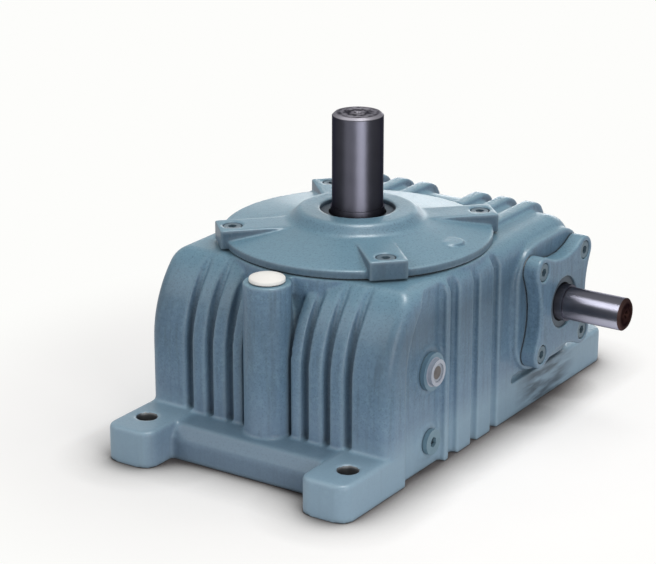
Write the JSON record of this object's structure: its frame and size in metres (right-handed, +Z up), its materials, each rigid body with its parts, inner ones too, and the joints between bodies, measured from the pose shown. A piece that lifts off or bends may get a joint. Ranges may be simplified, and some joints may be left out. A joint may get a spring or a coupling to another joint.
{
  "type": "worm gear reducer",
  "caption": "Right-angle worm gear reducer: ribbed cast-iron box on feet, vertical output shaft up through a round bolted cover, horizontal input shaft, vent, oil gauge and drain.",
  "frame": {"origin": "where the output shaft's axis meets the plane of the feet", "axes": "+Z up along the output shaft, +X along the worm towards its free end, +Y from the output axis towards the worm"},
  "size_m": [0.2934, 0.381, 0.2352],
  "materials": {
    "enamel_casting": "satin",
    "blued_steel": "satin",
    "ground_steel": "polished",
    "black_screws": "satin",
    "machined_iron": "matte",
    "bronze": "satin",
    "plain_steel": "satin",
    "bearing_steel": "polished",
    "cage_steel": "satin",
    "nitrile": "matte",
    "gasket_paper": "matte",
    "white_plastic": "satin",
    "zinc_alloy": "satin",
    "gauge_glass": "gloss",
    "zinc_steel": "satin",
    "copper_washer": "satin"
  },
  "bodies": {
    "casing": {"housing": "enamel_casting", "output_cover": "enamel_casting", "input_cover": "enamel_casting", "blind_cover": "enamel_casting", "output_cover_screws": "black_screws", "input_cover_screws": "black_screws", "blind_cover_screws": "black_screws", "bottom_cover_screws": "black_screws", "bottom_cover": "machined_iron", "input_cover_shims": "plain_steel", "blind_cover_shims": "plain_steel", "lower_bearing_cup": "bearing_steel", "upper_bearing_cup": "bearing_steel", "input_bearing_cup": "bearing_steel", "blind_bearing_cup": "bearing_steel", "output_oil_seal": "nitrile", "input_oil_seal": "nitrile", "output_cover_gasket": "gasket_paper", "bottom_cover_gasket": "gasket_paper", "vent_cap": "white_plastic", "gauge_body": "zinc_alloy", "gauge_window": "gauge_glass", "drain_plug": "zinc_steel", "gauge_washer": "copper_washer", "drain_washer": "copper_washer"},
    "output": {"output_shaft": "blued_steel", "wheel_key": "plain_steel", "wheel_spacer": "plain_steel", "wheel_hub": "machined_iron", "wheel_rim": "bronze", "wheel_rim_screws": "plain_steel", "lower_bearing_cone": "bearing_steel", "upper_bearing_cone": "bearing_steel"},
    "worm": {"worm_shaft": "ground_steel", "input_bearing_cone": "bearing_steel", "blind_bearing_cone": "bearing_steel"},
    "lower_bearing_set": {"lower_bearing_rollers": "bearing_steel", "lower_bearing_cage": "cage_steel"},
    "upper_bearing_set": {"upper_bearing_rollers": "bearing_steel", "upper_bearing_cage": "cage_steel"},
    "input_bearing_set": {"input_bearing_rollers": "bearing_steel", "input_bearing_cage": "cage_steel"},
    "blind_bearing_set": {"blind_bearing_rollers": "bearing_steel", "blind_bearing_cage": "cage_steel"}
  },
  "joints": [
    {"name": "output_spin", "type": "hinge", "parent": "casing", "child": "output", "pos_m": [0, 0, 0], "axis": [0, 0, 1], "continuous": true},
    {"name": "worm_spin", "type": "hinge", "parent": "casing", "child": "worm", "pos_m": [0, 0.1, 0.083], "axis": [1, 0, 0], "continuous": true},
    {"name": "lower_bearing_spin", "type": "hinge", "parent": "casing", "child": "lower_bearing_set", "pos_m": [0, 0, 0], "axis": [0, 0, 1], "continuous": true},
    {"name": "upper_bearing_spin", "type": "hinge", "parent": "casing", "child": "upper_bearing_set", "pos_m": [0, 0, 0], "axis": [0, 0, 1], "continuous": true},
    {"name": "input_bearing_spin", "type": "hinge", "parent": "casing", "child": "input_bearing_set", "pos_m": [0, 0.1, 0.083], "axis": [1, 0, 0], "continuous": true},
    {"name": "blind_bearing_spin", "type": "hinge", "parent": "casing", "child": "blind_bearing_set", "pos_m": [0, 0.1, 0.083], "axis": [1, 0, 0], "continuous": true}
  ],
  "couplings": [
    {"joint": "worm_spin", "follows": "output_spin", "ratio": 30},
    {"joint": "lower_bearing_spin", "follows": "output_spin", "ratio": 0.4246},
    {"joint": "upper_bearing_spin", "follows": "output_spin", "ratio": 0.4246},
    {"joint": "input_bearing_spin", "follows": "output_spin", "ratio": 12.509},
    {"joint": "blind_bearing_spin", "follows": "output_spin", "ratio": 12.509}
  ]
}
